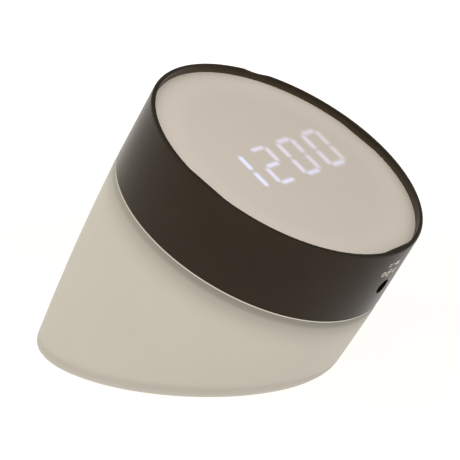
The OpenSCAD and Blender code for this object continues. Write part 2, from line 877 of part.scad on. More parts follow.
module body_shell() {
    color("#cdc4b5") difference() {
        union() {
            difference() {
                intersection() {
                    face_frame() body_skin();
                    above_base();
                }
                intersection() {
                    face_frame() cavity(0);
                    translate([-over, -over, plate_top])
                        cube([2 * over, 2 * over, over]);
                }
                linear_extrude(plate_top + eps)
                    base_outline(0, plate_inset - seat_gap);
                face_frame() deep_rod(flange_out_r - collar_wall, ring_h - 1, collar_back + eps);
            }
            face_frame() difference() {
                deep_rod(flange_out_r, flange_depth, ring_h + 0.5);
                deep_rod(flange_in_r, flange_depth - eps, flange_back + eps);
                deep_rod(flange_out_r - collar_wall, flange_back, ring_h + 1);
            }
            intersection() {
                posts();
                face_frame() cavity(0.4);
            }
        }
        face_frame() around(body_boss_at)
            deep_rod(body_screw[2] + screw_free, flange_depth - 1, flange_back + 1);
        at_posts()
            translate([0, 0, plate_top - 1])
                cylinder(r = base_screw[2] + screw_gap, h = base_screw_l + 1);
    }
}

module body_screws() {
    color("#9a9a98") face_frame()
        around(body_boss_at)
            translate([0, 0, -flange_back - body_screw[1]])
                screw(body_screw);
}

// Places of the foot pads
module at_feet() {
    for (x = [-1, 1], y = [-1, 1])
        translate([x * foot_x, base_cy + y * foot_y, 0])
            children();
}

// Slots that the door's two tabs and the contact tabs pass through
module bay_slots() {
    for (side = [-1, 1])
        translate([side * cell_pitch / 2 - door_tab_w / 2 - 0.3, bay_front - bay_wall - 1, plate_top])
            cube([door_tab_w + 0.6, bay_wall + 1 + eps, door_tab_thick + 1.4]);
    for (tab = [plus_tab, minus_tab])
        translate([tab[0] - tab_w / 2 - 0.1, tab[1] - contact_thick / 2 - 0.1, bay_top - 1])
            cube([tab_w + 0.2, contact_thick + 0.2, bay_wall + 2]);
}

module base_plate() {
    color("#4a443c") difference() {
        union() {
            translate([0, 0, foot_proud])
                linear_extrude(base_thick)
                    base_outline(0, plate_inset);
            translate([-bay_w / 2 - bay_wall, bay_front - bay_wall, plate_top - 0.5])
                cube([bay_w + 2 * bay_wall, bay_l + 2 * bay_wall, roof_top - plate_top + 0.5]);
        }
        translate([-bay_w / 2, bay_front, 0])
            cube([bay_w, bay_l, bay_top]);
        bay_slots();
        at_feet()
            cylinder(d = foot_d + 0.2, h = foot_thick);
        at_posts() {
            cylinder(r = base_screw[2] + screw_free, h = plate_top + 1);
            cylinder(r = base_screw[0] + 0.2, h = foot_proud + base_head_set + base_screw[1]);
        }
    }
}

module base_screws() {
    color("#9a9a98") at_posts()
        translate([0, 0, foot_proud + base_head_set])
            screw(base_screw);
}

module foot_pads() {
    color("#2a2725") at_feet() {
        cylinder(d1 = foot_d - 0.4, d2 = foot_d, h = 0.25);
        translate([0, 0, 0.25])
            cylinder(d = foot_d, h = foot_thick - 0.25);
    }
}

// Door of the battery bay: it rocks on the outer edge of its tabbed end
module battery_door() {
    door_front = bay_front + door_gap;
    door_l = bay_l - 2 * door_gap;
    door_w = bay_w - 2 * door_gap;
    tab_root = 1.2;
    scoop_r = 14;
    scoop_l = 12;
    scoop_depth = 1;
    scoop_inset = 6;
    finger_y = door_front + door_l - finger_set - finger_thick;
    color("#4a443c") difference() {
        union() {
            translate([-door_w / 2, door_front, foot_proud])
                cube([door_w, door_l, base_thick]);
            for (side = [-1, 1])
                translate([side * cell_pitch / 2 - door_tab_w / 2, 0, plate_top]) {
                    translate([0, door_front, -eps])
                        cube([door_tab_w, tab_root, tab_lift + door_tab_thick + eps]);
                    translate([0, bay_front - door_tab_reach, tab_lift])
                        cube([door_tab_w, door_tab_reach + door_gap + tab_root, door_tab_thick]);
                }
            for (side = [-1, 1])
                translate([side * cell_pitch / 2 - finger_w / 2, finger_y, plate_top - eps])
                    cube([finger_w, finger_thick, finger_h]);
        }
        translate([0, door_front + door_l - scoop_inset, foot_proud - scoop_r + scoop_depth])
            rotate([0, 90, 0])
                cylinder(r = scoop_r, h = scoop_l, center = true);
    }
}

// Cell along Y with its nub towards +Y; way = -1 turns it round
module cell(column, way) {
    x = (column - 1) * cell_pitch;
    color("#56606b") translate([x, bay_cy - way * nub_h / 2, cell_z])
        rotate([way * -90, 0, 0]) {
            translate([0, 0, -cell_l / 2])
                cylinder(d = cell_d, h = cell_l);
            translate([0, 0, cell_l / 2])
                cylinder(d = 3.8, h = nub_h);
        }
}

module cell_left() {
    cell(0, 1);
}

module cell_middle() {
    cell(1, -1);
}

module cell_right() {
    cell(2, 1);
}

// Upright sheet at one end of the bay (end = -1 or 1), centred at x
module contact(x, end, w, low, high) {
    translate([x - w / 2, bay_cy + end * (bay_l - contact_thick) / 2 - contact_thick / 2, low])
        cube([w, contact_thick, high - low]);
}

// Contacts at both ends of the bay: plates with a stub that reaches each cell,
// two of them linked to their neighbours, and two with a solder tab
module contact_plates() {
    color("#c9c6bf") {
        for (end = [-1, 1], x = [-cell_pitch, 0, cell_pitch]) {
            contact(x, end, contact_w, contact_low, contact_high);
            translate([x, bay_cy + end * bay_l / 2, cell_z])
                rotate([end * 90, 0, 0])
                    cylinder(r = stub_r, h = contact_thick + contact_reach);
        }
        for (end = [-1, 1])
            contact(end * cell_pitch / 2, end, cell_pitch, link_low, link_high);
        for (tab = [plus_tab, minus_tab])
            translate([tab[0] - tab_w / 2, tab[1] - contact_thick / 2, link_low])
                cube([tab_w, contact_thick, tab[2] - link_low]);
    }
}

ring_bezel();
face_plate();
display_housing();
lit_segments();
dark_segments();
display_board();
header_strips();
header_pins();
main_board();
board_screws();
dc_jack();
jack_pin();
key_minus();
key_set();
key_plus();
switch_stem_minus();
switch_stem_set();
switch_stem_plus();
switch_bodies();
controller_chip();
chip_legs();
clock_crystal();
smoothing_capacitor();
buzzer_case();
buzzer_disc();
tilt_can();
tilt_ball();
lead_socket();
lead_plus();
lead_minus();
body_shell();
body_screws();
base_plate();
base_screws();
foot_pads();
battery_door();
cell_left();
cell_middle();
cell_right();
contact_plates();
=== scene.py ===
import json
import math

import bmesh
import bpy
import numpy as np
from mathutils import Matrix, Vector


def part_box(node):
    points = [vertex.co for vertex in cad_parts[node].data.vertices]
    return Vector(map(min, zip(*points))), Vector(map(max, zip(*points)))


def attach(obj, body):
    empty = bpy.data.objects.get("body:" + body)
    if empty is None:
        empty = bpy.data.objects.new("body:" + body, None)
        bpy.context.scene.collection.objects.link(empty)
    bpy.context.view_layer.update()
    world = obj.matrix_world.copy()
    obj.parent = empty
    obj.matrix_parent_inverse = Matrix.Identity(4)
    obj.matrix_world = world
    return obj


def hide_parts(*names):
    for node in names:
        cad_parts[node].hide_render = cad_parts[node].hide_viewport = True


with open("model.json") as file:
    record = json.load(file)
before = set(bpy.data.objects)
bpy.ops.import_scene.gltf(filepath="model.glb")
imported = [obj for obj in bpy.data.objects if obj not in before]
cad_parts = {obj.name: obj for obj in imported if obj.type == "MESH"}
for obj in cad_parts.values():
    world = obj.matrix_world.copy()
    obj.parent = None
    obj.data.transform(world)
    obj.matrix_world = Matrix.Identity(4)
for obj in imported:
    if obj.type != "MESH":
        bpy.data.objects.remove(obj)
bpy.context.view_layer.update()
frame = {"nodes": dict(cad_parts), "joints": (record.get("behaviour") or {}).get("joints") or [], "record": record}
nodes = frame["nodes"]
MM = 0.001

# The clock's own frame: x to the right of the face, y up the face, z out of the face,
# with its origin in the middle of the rim's plane. The middle key is pressed along -y.
EX = Vector((1, 0, 0))
EY = -Vector(next(j for j in frame["joints"] if j["child"] == "key_set")["axis"]).normalized()
EZ = EX.cross(EY)
TURN = Matrix((EX, EY, EZ))


def turned(name):
    """Vertices of a node along the clock's own directions."""
    return np.array([TURN @ v.co for v in nodes[name].data.vertices])


ring_pts = turned("ring_bezel")
RING_R = (ring_pts[:, 0].max() - ring_pts[:, 0].min()) / 2
ORIGIN = (EY * ((ring_pts[:, 1].min() + ring_pts[:, 1].max()) / 2)
          + EZ * ring_pts[:, 2].max())
FACE = Matrix.Translation(ORIGIN) @ TURN.transposed().to_4x4()


def in_face(name):
    """Vertices of a node in the clock's own frame."""
    return turned(name) - np.array(TURN @ ORIGIN)


panel_pts = in_face("face_plate")
PANEL_Z = panel_pts[:, 2].max()
PANEL_THICK = PANEL_Z - panel_pts[:, 2].min()

# The jack's middle, and its angle counted from 6 towards 3 o'clock.
JACK = in_face("jack_pin").mean(axis=0)
JACK_ANGLE = math.atan2(JACK[0], -JACK[1])


def around(theta):
    """Unit vector from the ring's axis, at an angle in degrees from 6 towards 3 o'clock."""
    a = math.radians(theta)
    return EX * math.sin(a) - EY * math.cos(a)


# ---------------------------------------------------------------- materials


def linear(r, g, b):
    """Display colour, 0 to 255 for each channel, as linear RGBA."""
    def one(c):
        c /= 255
        return c / 12.92 if c <= 0.04045 else ((c + 0.055) / 1.055) ** 2.4
    return one(r), one(g), one(b), 1.0


def times(rgb, k):
    """Linear colour made k times as bright, held at white."""
    return tuple(min(1.0, c * k) for c in rgb[:3]) + (1.0,)


class Finish:
    """A node-based material with a few helpers to build it."""

    def __init__(self, name):
        self.m = bpy.data.materials.new(name)
        self.m.use_nodes = True
        self.t = self.m.node_tree
        self.t.nodes.clear()
        self.bsdf = self.add("ShaderNodeBsdfPrincipled")
        self.feed(self.add("ShaderNodeOutputMaterial").inputs[0], self.bsdf.outputs[0])
        self.at = self.add("ShaderNodeTexCoord").outputs["Object"]

    def add(self, kind, **values):
        """New node with its own settings."""
        n = self.t.nodes.new(kind)
        for k, v in values.items():
            setattr(n, k, v)
        return n

    def feed(self, socket, value):
        """Link a node's output to a socket, or set the socket to a constant."""
        if isinstance(value, bpy.types.NodeSocket):
            self.t.links.new(value, socket)
        else:
            socket.default_value = value

    def put(self, **values):
        """Feed sockets of the main shader, named with _ for each space."""
        for k, v in values.items():
            self.feed(self.bsdf.inputs[k.replace("_", " ")], v)

    def noise(self, scale, detail=2.0, rough=0.5):
        """Noise of a scale per metre, between 0 and 1."""
        n = self.add("ShaderNodeTexNoise")
        for k, v in (("Scale", scale), ("Detail", detail), ("Roughness", rough),
                     ("Vector", self.at)):
            self.feed(n.inputs[k], v)
        return n.outputs["Fac"]

    def ramp(self, fac, stops, mode="LINEAR"):
        """Colour by stops of a position and a colour, or a position and a grey."""
        n = self.add("ShaderNodeValToRGB")
        n.color_ramp.interpolation = mode
        while len(n.color_ramp.elements) < len(stops):
            n.color_ramp.elements.new(0.5)
        for e, (at, c) in zip(n.color_ramp.elements, stops):
            e.position = at
            e.color = c if isinstance(c, tuple) else (c, c, c, 1)
        self.feed(n.inputs["Fac"], fac)
        return n.outputs["Color"]

    def span(self, value, from_lo, from_hi, lo=0.0, hi=1.0):
        """Value carried from one range to another, and held within it."""
        n = self.add("ShaderNodeMapRange")
        for k, v in (("Value", value), ("From Min", from_lo), ("From Max", from_hi),
                     ("To Min", lo), ("To Max", hi)):
            self.feed(n.inputs[k], v)
        return n.outputs["Result"]

    def mix(self, fac, a, b, kind="MIX"):
        """Colour a turned towards b by a share."""
        n = self.add("ShaderNodeMix", data_type="RGBA", blend_type=kind)
        for i, value in ((0, fac), (6, a), (7, b)):
            self.feed(n.inputs[i], value)
        return n.outputs[2]

    def multiply(self, a, b):
        """One colour times another."""
        return self.mix(1.0, a, b, "MULTIPLY")

    def product(self, a, b):
        """One number times another."""
        n = self.add("ShaderNodeMath", operation="MULTIPLY")
        self.feed(n.inputs[0], a)
        self.feed(n.inputs[1], b)
        return n.outputs[0]

    def vector(self, kind, a, b, out="Vector"):
        """Vector maths on an output and a constant vector."""
        n = self.add("ShaderNodeVectorMath", operation=kind)
        self.feed(n.inputs[0], a)
        self.feed(n.inputs[1], b)
        return n.outputs[out]

    def length(self, vector):
        """Length of a vector."""
        n = self.add("ShaderNodeVectorMath", operation="LENGTH")
        self.feed(n.inputs[0], vector)
        return n.outputs["Value"]

    def offset(self, origin):
        """Where a surface point lies, counted from an origin."""
        return self.vector("SUBTRACT", self.at, origin)

    def along(self, vector, direction):
        """How far a vector reaches along a direction."""
        return self.vector("DOT_PRODUCT", vector, direction, "Value")

    def below_rim(self):
        """Depth below the rim's plane in mm."""
        return self.along(self.offset(ORIGIN), -EZ / MM)

    def drift(self, base, scale, share):
        """Base colour with broad, faint changes of brightness by a share up and down."""
        return self.ramp(self.noise(scale, 3), [(0.3, times(base, 1 - share)),
                                                (0.7, times(base, 1 + share))])

    def gloss(self, scale, low, high):
        """Roughness that a fine noise varies between two values. Returns the noise."""
        fine = self.noise(scale)
        self.put(Roughness=self.span(fine, 0.25, 0.75, low, high))
        return fine

    def bump(self, height, strength, distance):
        """Relief from a height, with its distance in mm."""
        n = self.add("ShaderNodeBump")
        for k, v in (("Height", height), ("Strength", strength), ("Distance", distance * MM)):
            self.feed(n.inputs[k], v)
        self.put(Normal=n.outputs["Normal"])


def moulded(name, rgb, rough, grain=2600, depth=0.02, strength=0.25, metal=0.0,
            specular=0.5, tint=(255, 255, 255)):
    """Moulded or plated surface: broad colour drift, fine grain in gloss and height."""
    f = Finish(name)
    f.put(Base_Color=f.drift(linear(*rgb), 60, 0.04), Metallic=metal,
          Specular_IOR_Level=specular, Specular_Tint=linear(*tint))
    f.bump(f.gloss(grain, rough - 0.04, rough + 0.04), strength, depth)
    return f.m


WARM_SHEEN = (255, 240, 214)
LIP_WIDTH = (1.0, 1.1)      # mm from the ring's outside to the wall inside its lip
LIP_FOOT = (0.2, 2.0)       # mm below the rim, over which painted light makes that wall lighter


def ring_finish():
    """Dark brown satin, with painted light making it a little lighter low on the inside of the lip, next to the
    panel.
    """
    f = Finish("ring_satin")
    radius = f.length(f.vector("CROSS_PRODUCT", f.offset(ORIGIN), EZ / MM))
    inside = f.span(radius, *(RING_R / MM - w for w in LIP_WIDTH))
    # painted light: the wall inside the lip turns lighter low down, next to the panel
    painted_lip_light = f.product(inside, f.span(f.below_rim(), *LIP_FOOT))
    colour = f.mix(painted_lip_light, f.drift(linear(36, 31, 25), 60, 0.12), linear(64, 57, 46))
    f.put(Base_Color=colour, Specular_IOR_Level=0.165, Specular_Tint=linear(*WARM_SHEEN))
    f.bump(f.gloss(2600, 0.25, 0.33), 0.25, 0.012)
    return f.m


# Painted light and shade on the body by mm below the rim: painted shadow in the joint, a painted
# highlight on the bead, painted shade in the groove under it, and the slow rise to the plain colour. Towards 12
# o'clock the painted shade weakens.
BAND_FROM, BAND_TO = 21.5, 36.5
JOINT_SHADE_AND_HIGHLIGHT = [(22.14, 0.1), (22.2, 1.28), (22.5, 1.28), (22.66, 0.47), (23.6, 0.475),
        (24.0, 0.515), (24.25, 0.55), (24.5, 0.61), (25.0, 0.71), (26.0, 0.76),
        (27.0, 0.82), (28.0, 0.875), (29.0, 0.92), (31.0, 0.975), (33.0, 1.0)]
BAND_AT_TWELVE = 0.65

# Painted shade by the share of the lowest 6 mm, where the body's edge turns under.
EDGE_HEIGHT = 6
BASE_EDGE_SHADE = [(0.2, 1.0), (0.4, 0.91), (0.58, 0.87), (0.7, 0.9), (0.83, 0.97), (1.0, 1.0)]


def body_finish():
    """Satin beige with a painted highlight on the bead, painted shade under the ring, and painted shade along the
    base edge.
    """
    f = Finish("body_satin")
    colour = f.drift(linear(181, 178, 167.5), 45, 0.015)
    stops = [((d - BAND_FROM) / (BAND_TO - BAND_FROM), v) for d, v in JOINT_SHADE_AND_HIGHLIGHT]
    # painted shadow in the joint, painted highlight on the bead, painted shade in the groove under the ring
    joint_shading = f.ramp(f.span(f.below_rim(), BAND_FROM, BAND_TO), stops)
    upper = f.along(f.offset(ORIGIN), EY / RING_R)
    weight = f.span(upper, -0.3, 1.0, 1.0, BAND_AT_TWELVE)
    colour = f.mix(weight, colour, f.multiply(colour, joint_shading))
    # painted shade along the base edge, where the body turns under
    height = f.along(f.at, Vector((0, 0, 1 / MM)))
    colour = f.multiply(colour, f.ramp(f.span(height, 0, EDGE_HEIGHT), BASE_EDGE_SHADE))
    f.put(Base_Color=colour, Specular_IOR_Level=0.3)
    f.bump(f.gloss(2400, 0.5, 0.58), 0.2, 0.012)
    return f.m


PANEL_EDGE_LIGHT = (26 * MM, 37 * MM)     # from the panel's middle, over which painted light makes it lighter
PAINTED_LIGHT_SIDE = -100             # degrees, the side on which painted light makes it lighter


def face_finish():
    """Satin panel with painted light, slightly lighter towards its edge and on one side, through which the digits
    glow.
    """
    f = Finish("face_satin")
    colour = f.drift(linear(206.5, 200.5, 194.5), 30, 0.01)
    middle = f.offset(FACE @ Vector((0, 0, PANEL_Z)))
    # painted light: the panel turns lighter towards its edge and towards one side
    radius = f.span(f.length(middle), *PANEL_EDGE_LIGHT)
    colour = f.multiply(colour, f.ramp(radius, [(0.0, 0.965), (1.0, 1.06)], "EASE"))
    side = f.span(f.along(middle, around(PAINTED_LIGHT_SIDE) / RING_R), -1, 1)
    colour = f.multiply(colour, f.ramp(side, [(0.0, 0.945), (0.5, 0.972), (1.0, 1.045)]))
    glow = f.add("ShaderNodeAttribute", attribute_name="glow").outputs["Color"]
    f.put(Base_Color=colour, Specular_IOR_Level=0.35, Emission_Color=glow,
          Emission_Strength=1.0)
    f.bump(f.gloss(3000, 0.36, 0.42), 0.15, 0.006)
    return f.m


def cell_finish():
    """Wrapped jacket: dark sleeve with one copper-coloured end, and bare ends."""
    f = Finish("cell_jacket")
    lo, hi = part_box("cell_left")
    length = f.span(f.along(f.at, Vector((0, 1, 0))), lo[1], hi[1])
    stops = [(0.0, linear(168, 168, 166)), (0.03, linear(58, 60, 66)),
             (0.64, linear(214, 208, 196)), (0.655, linear(178, 116, 66)),
             (0.97, linear(178, 178, 176))]
    f.put(Base_Color=f.ramp(length, stops, "CONSTANT"), Metallic=0.35, Coat_Weight=0.4)
    f.bump(f.gloss(900, 0.22, 0.32), 0.2, 0.01)
    return f.m


def board_finish():
    """Green solder mask with tinned traces showing through it as slightly lighter lines."""
    f = Finish("board_mask")
    base = linear(22, 78, 48)
    fine = f.add("ShaderNodeMapping")
    f.feed(fine.inputs["Vector"], f.at)
    f.feed(fine.inputs["Scale"], (260, 260, 260))
    weave = f.add("ShaderNodeTexBrick")
    for k, v in (("Vector", fine.outputs[0]), ("Color1", base), ("Color2", times(base, 1.12)),
                 ("Mortar", times(base, 1.6)), ("Mortar Size", 0.03)):
        f.feed(weave.inputs[k], v)
    f.put(Base_Color=weave.outputs["Color"], Coat_Weight=0.3)
    f.bump(weave.outputs["Fac"], 0.2, 0.02)
    f.gloss(700, 0.28, 0.36)
    return f.m


def glow_finish():
    """Milky light window of a lit segment."""
    f = Finish("segment_light")
    light = f.ramp(f.noise(900), [(0.3, (0.72, 0.74, 1.0, 1)), (0.7, (0.82, 0.84, 1.0, 1))])
    f.put(Base_Color=linear(230, 228, 250), Emission_Color=light, Emission_Strength=0.9)
    return f.m


def marks_finish():
    """Pad-printed off-white ink, a little worn."""
    f = Finish("printed_ink")
    stops = [(0.3, linear(132, 126, 116)), (0.46, linear(192, 186, 176)),
             (0.7, linear(202, 197, 187))]
    f.put(Base_Color=f.ramp(f.noise(1500, 4, 0.7), stops))
    f.gloss(2600, 0.45, 0.6)
    return f.m


MATS = {
    "ring": ring_finish(),
    "hole": moulded("jack_black", (9, 9, 9), 0.7, specular=0.1),
    "face": face_finish(),
    "body": body_finish(),
    "base": moulded("base_textured", (46, 41, 35), 0.6, grain=1500, depth=0.05,
                    strength=0.5),
    "keys": moulded("key_satin", (27, 21, 15), 0.36, specular=0.34, tint=WARM_SHEEN),
    "pads": moulded("pad_rubber", (38, 37, 36), 0.8, grain=2000),
    "board": board_finish(),
    "black_plastic": moulded("moulded_black", (30, 30, 31), 0.5),
    "gold": moulded("gold_plate", (205, 168, 92), 0.3, metal=1.0),
    "steel": moulded("zinc_steel", (176, 176, 172), 0.38, metal=1.0),
    "tin": moulded("nickel_sheet", (200, 197, 190), 0.28, metal=1.0),
    "capacitor_sleeve": moulded("shrunk_sleeve", (42, 52, 84), 0.3),
    "white_plastic": moulded("white_nylon", (228, 222, 206), 0.45),
    "red_wire": moulded("red_insulation", (165, 52, 44), 0.4),
    "black_wire": moulded("black_insulation", (36, 36, 36), 0.4),
    "cells": cell_finish(),
    "lit": glow_finish(),
    "unlit": moulded("milky_segment", (190, 187, 180), 0.5),
}
INK = marks_finish()


# ---------------------------------------------------------------- CAD nodes


TOUCH = 0.001 * MM


def smooth(o, angle=34):
    """Shade smooth and split at real edges; no vertex is touched."""
    for p in o.data.polygons:
        p.use_smooth = True
    if "custom_normal" in o.data.attributes:
        o.data.attributes.remove(o.data.attributes["custom_normal"])
    weld = o.modifiers.new("weld", "WELD")
    weld.merge_threshold = TOUCH
    split = o.modifiers.new("split", "EDGE_SPLIT")
    split.split_angle = math.radians(angle)


def dress():
    """Give every CAD node the material that the record names for it."""
    for s in frame["record"]["subparts"]:
        o = nodes[s["node"]]
        o.data.materials.clear()
        o.data.materials.append(MATS[s["material_slot"]])
        smooth(o)


# ---------------------------------------------------------------- pieces of the scene


def to_mesh(bm, name):
    """Finished mesh of the given name, with its normals turned outwards."""
    bmesh.ops.recalc_face_normals(bm, faces=bm.faces)
    mesh = bpy.data.meshes.new(name)
    bm.to_mesh(mesh)
    bm.free()
    return mesh


def link_object(name, data):
    """New object in the scene."""
    o = bpy.data.objects.new(name, data)
    bpy.context.scene.collection.objects.link(o)
    return o


def piece(mesh, material, body="case"):
    """Finished piece made of a mesh and named after it, riding on a body."""
    o = link_object(mesh.name, mesh)
    mesh.materials.append(material)
    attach(o, body)
    return o


ON_PLANE = 0.02 * MM


def outline_of(points, z):
    """Convex outline of the points that lie at height z, in turning order."""
    flat = points[abs(points[:, 2] - z) < ON_PLANE][:, :2]
    flat = np.unique(flat.round(7), axis=0)
    mid = flat.mean(axis=0)
    return flat[np.argsort(np.arctan2(flat[:, 1] - mid[1], flat[:, 0] - mid[0]))]


def islands(obj):
    """Lists of vertex numbers that hang together."""
    parent = list(range(len(obj.data.vertices)))

    def root(i):
        while parent[i] != i:
            parent[i] = parent[parent[i]]
            i = parent[i]
        return i

    for e in obj.data.edges:
        parent[root(e.vertices[0])] = root(e.vertices[1])
    groups = {}
    for i in range(len(parent)):
        groups.setdefault(root(i), []).append(i)
    return list(groups.values())


def lit_outlines():
    """Front outline of each lit segment in the clock's own frame."""
    pts = in_face("lit_segments")
    front = pts[:, 2].max()
    found = [outline_of(pts[group], front) for group in islands(nodes["lit_segments"])]
    return [outline for outline in found if len(outline) > 2]


def distance(p, poly):
    """Signed distance of each point from a convex outline, negative inside."""
    best = np.full(len(p), np.inf)
    inside = np.ones(len(p), bool)
    for a, b in zip(poly, np.roll(poly, -1, axis=0)):
        d = b - a
        w = p - a
        t = np.clip(w @ d / (d @ d), 0, 1)
        best = np.minimum(best, np.linalg.norm(w - t[:, None] * d, axis=1))
        inside &= d[0] * w[:, 1] - d[1] * w[:, 0] >= 0
    return np.where(inside, -best, best)


DIGIT_PITCH = 12.7 * MM
DIGIT_REACH = 4.1 * MM      # from a digit's middle to the outside of its right uprights
UPPER_BAR = 4 * MM          # a bar above this height is a digit's upper one

# What the panel adds in mm to each end and each side of a segment's light.
UPRIGHT_GROWTH, BAR_GROWTH = (-0.24, 0.19), (-0.47, -0.1)

# Edge softness of the light in mm at two places across the face.
SOFT_AT, SOFT = (-15, 20), (0.6, 1.15)

# The light's two colours, and the share of rose in it: from the second digit on, the more
# for each digit, for the right uprights of those digits, and for upper and lower bars.
VIOLET, ROSE = np.array((0.28, 0.335, 0.61)), np.array((0.208, 0.178, 0.25))
ROSE_AFTER_FIRST, ROSE_PER_DIGIT, ROSE_RIGHT = 0.21, 0.115, 0.24
ROSE_UPPER, ROSE_LOWER = -0.05, -0.32


def segment_light(poly, first_x):
    """Outline, edge softness and light of one lit segment as seen on the panel's front.

    The light narrows the ends and widens the uprights. It turns from violet to rose towards
    the right of the display and of each digit, and from its lower to its upper bars.
    """
    mid = (poly.min(axis=0) + poly.max(axis=0)) / 2
    away = poly - mid
    long_way = np.linalg.svd(away)[2]
    upright = abs(long_way[0][1]) > abs(long_way[0][0])
    uv = away @ long_way.T
    growth = np.array(UPRIGHT_GROWTH if upright else BAR_GROWTH) * MM
    uv *= 1 + growth / abs(uv).max(axis=0)
    digit = round((mid[0] - first_x) / DIGIT_PITCH)
    right = mid[0] - first_x - digit * DIGIT_PITCH > 0
    rose = ROSE_AFTER_FIRST + ROSE_PER_DIGIT * digit if digit else 0.0
    if not upright:
        rose += ROSE_UPPER if mid[1] > UPPER_BAR else ROSE_LOWER
    elif right and digit > 0:
        rose += ROSE_RIGHT
    soft = np.interp(mid[0] / MM, SOFT_AT, SOFT) * MM
    return mid + uv @ long_way, soft, VIOLET + (ROSE - VIOLET) * min(1, max(0, rose))


def glow_at(p, outlines):
    """Light of the digits that reaches each point of the panel's front, as linear colour."""
    total = np.zeros((len(p), 3))
    first_x = min(o[:, 0].max() for o in outlines) - DIGIT_REACH
    for outline in outlines:
        poly, soft, hue = segment_light(outline, first_x)
        t = np.clip(0.5 - distance(p, poly) / (2 * soft), 0, 1)
        total = np.maximum(total, (t * t * (3 - 2 * t))[:, None] * hue)
    return total


PANEL_GROW = 0.13 * MM      # by which the panel reaches out to the wall of the lip
PANEL_ROUND = 0.12 * MM     # rounding of its front edge
EDGE_STEP = 1.5 * MM        # longest step along its edge
GRID_MARGIN, GRID_STEP = 3.2 * MM, 0.25 * MM


def panel_side(bm):
    """Back, side and rounded edge of the panel. Returns the front loop of vertices."""
    edge = outline_of(panel_pts, PANEL_Z)
    edge *= 1 + PANEL_GROW / np.linalg.norm(edge, axis=1).max()
    dense = []
    for a, b in zip(edge, np.roll(edge, -1, axis=0)):
        n = max(1, int(np.linalg.norm(b - a) / EDGE_STEP))
        dense += [a + (b - a) * i / n for i in range(n)]
    rings = [(1.0, PANEL_Z - PANEL_THICK), (1.0, PANEL_Z - PANEL_ROUND)]
    radius = np.linalg.norm(edge, axis=1).max()
    for degrees in (30, 60, 90):
        a = math.radians(degrees)
        rings.append((1 - PANEL_ROUND * (1 - math.cos(a)) / radius,
                      PANEL_Z - PANEL_ROUND * (1 - math.sin(a))))
    loops = [[bm.verts.new((p[0] * k, p[1] * k, z)) for p in dense] for k, z in rings]
    for low, high in zip(loops, loops[1:]):
        for i in range(len(low)):
            j = (i + 1) % len(low)
            bm.faces.new((low[i], low[j], high[j], high[i])).smooth = True
    bm.faces.new(list(reversed(loops[0])))
    return loops[-1]


def panel_grid(bm, outlines):
    """Fine grid over the lit digits. Returns its border loop of vertices."""
    lit = np.concatenate(outlines)
    lo, hi = lit.min(axis=0) - GRID_MARGIN, lit.max(axis=0) + GRID_MARGIN
    nx, ny = (int(round(v / GRID_STEP)) for v in hi - lo)
    xs, ys = np.linspace(lo[0], hi[0], nx + 1), np.linspace(lo[1], hi[1], ny + 1)
    grid = [[bm.verts.new((x, y, PANEL_Z)) for x in xs] for y in ys]
    for a, b in zip(grid, grid[1:]):
        for i in range(nx):
            bm.faces.new((a[i], a[i + 1], b[i + 1], b[i]))
    return (grid[0] + [row[-1] for row in grid[1:]] + grid[-1][-2::-1]
            + [row[0] for row in grid[-2:0:-1]])


def face_panel():
    """Panel with a fine grid over the display, so that the digits' light has soft edges."""
    outlines = lit_outlines()
    bm = bmesh.new()
    edges = []
    for loop in (panel_side(bm), panel_grid(bm, outlines)):
        for i, v in enumerate(loop):
            w = loop[(i + 1) % len(loop)]
            edges.append(bm.edges.get((v, w)) or bm.edges.new((v, w)))
    bmesh.ops.triangle_fill(bm, use_beauty=True, use_dissolve=False, edges=edges)
    mesh = to_mesh(bm, "face_panel")
    at = np.array([v.co[:] for v in mesh.vertices])
    on_front = at[:, 2] > PANEL_Z - TOUCH
    light = glow_at(at[:, :2], outlines) * on_front[:, None]
    rgba = np.c_[light, np.ones(len(light))].astype("f")
    glow = mesh.color_attributes.new("glow", "FLOAT_COLOR", "POINT")
    glow.data.foreach_set("color", rgba.ravel())
    mesh.transform(FACE)
    o = piece(mesh, MATS["face"])
    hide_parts("face_plate")


SLEEVE_SIDES = 48
SLEEVE_GAP, SLEEVE_WALL = 0.02, 0.1     # mm from the hole to the lining's two faces
SLEEVE_TOP, SLEEVE_END = 0.03, 2.2      # mm below the ring's outside
NEAR_OUTSIDE = 0.9                      # share of the ring's radius


def jack_sleeve():
    """Black lining of the jack's hole, just below the ring's round outside.

    The hole's radius is the least distance of the ring's vertices from the jack's axis.
    """
    sin, cos = math.sin(JACK_ANGLE), math.cos(JACK_ANGLE)
    out, across = np.array((sin, -cos)), np.array((cos, sin))
    pts = in_face("ring_bezel")
    pts = pts[pts[:, :2] @ out > NEAR_OUTSIDE * RING_R]
    hole_r = np.hypot(pts[:, :2] @ across, pts[:, 2] - JACK[2]).min()
    bm = bmesh.new()
    loops = []
    for gap, depth in ((SLEEVE_GAP, SLEEVE_TOP), (SLEEVE_WALL, SLEEVE_TOP),
                       (SLEEVE_WALL, SLEEVE_END), (SLEEVE_GAP, SLEEVE_END)):
        loop = []
        for i in range(SLEEVE_SIDES):
            t = math.tau * i / SLEEVE_SIDES
            r = hole_r - gap * MM
            side, up = r * math.cos(t), r * math.sin(t)
            deep = math.sqrt(RING_R ** 2 - side ** 2) - depth * MM
            loop.append(bm.verts.new((*(out * deep + across * side), JACK[2] + up)))
        loops.append(loop)
    for a, b in zip(loops, loops[1:] + loops[:1]):
        for i in range(SLEEVE_SIDES):
            j = (i + 1) % SLEEVE_SIDES
            bm.faces.new((a[i], a[j], b[j], b[i]))
    mesh = to_mesh(bm, "jack_sleeve")
    mesh.transform(FACE)
    piece(mesh, MATS["hole"])


# ---------------------------------------------------------------- print


def bar(u0, v0, u1, v1, n=4):
    """Upright rectangle as a strip of quads."""
    us = np.linspace(u0, u1, n + 1)
    return [[(a, v0), (b, v0), (b, v1), (a, v1)] for a, b in zip(us, us[1:])]


